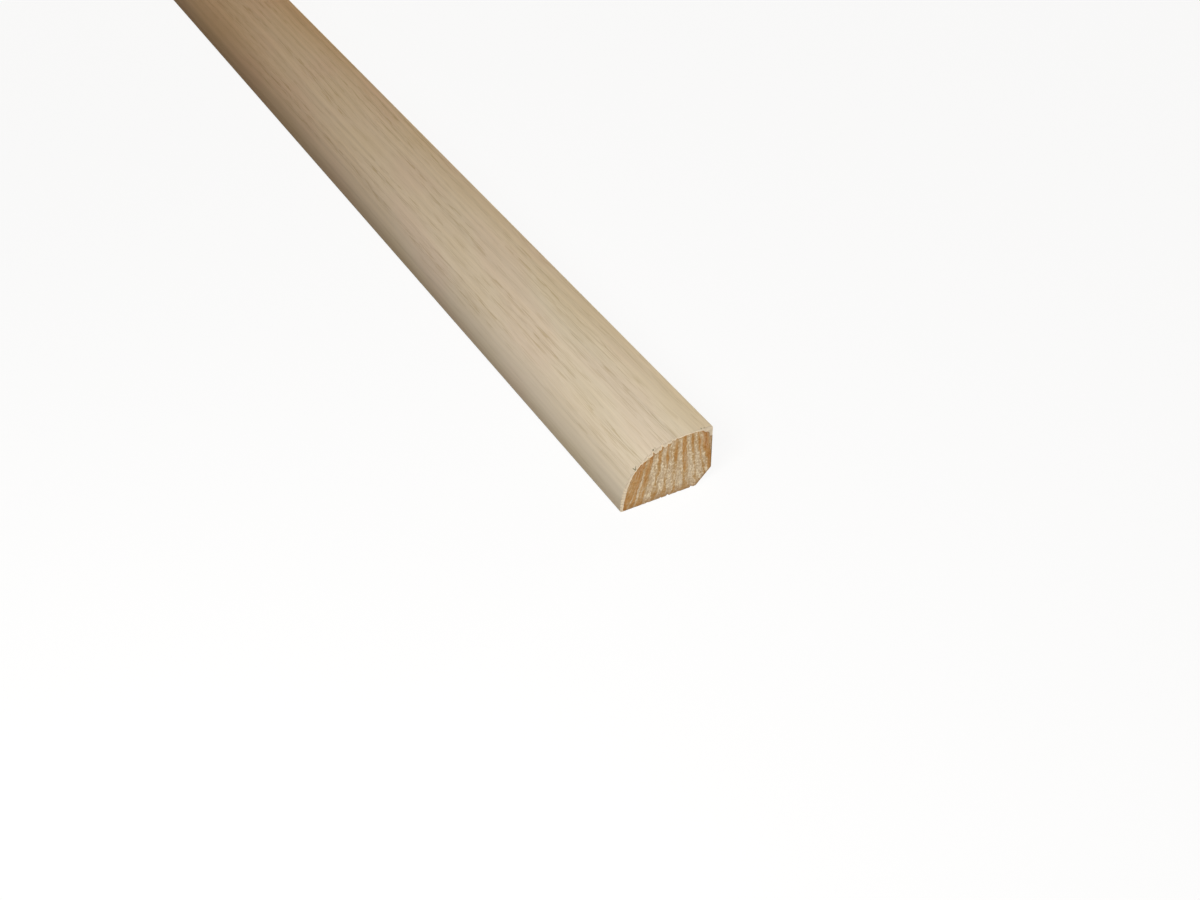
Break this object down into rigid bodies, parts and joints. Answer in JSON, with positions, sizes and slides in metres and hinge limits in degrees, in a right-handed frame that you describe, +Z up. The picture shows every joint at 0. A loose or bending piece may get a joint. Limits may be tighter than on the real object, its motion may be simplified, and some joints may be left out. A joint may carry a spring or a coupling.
{
  "type": "shoe moulding",
  "caption": "Straight pine base shoe moulding with a rounded front, a flat top, a relieved back corner and a pale wood veneer wrap, square cut at both ends.",
  "frame": {"origin": "on the floor under the middle of the stick: the centre of the underside of its box", "axes": "+X along the stick towards the pictured end, -Y to the rounded front, +Y to the flat back, +Z up, with the wide flat face down"},
  "size_m": [1.9812, 0.019, 0.0127],
  "materials": {
    "raw_pine": "bare planed pine with sawn ends",
    "pale_veneer": "pale cream veneer with open pores and a satin lacquer"
  },
  "bodies": {
    "root": {"pine_core": "raw_pine", "veneer_wrap": "pale_veneer"}
  },
  "joints": []
}
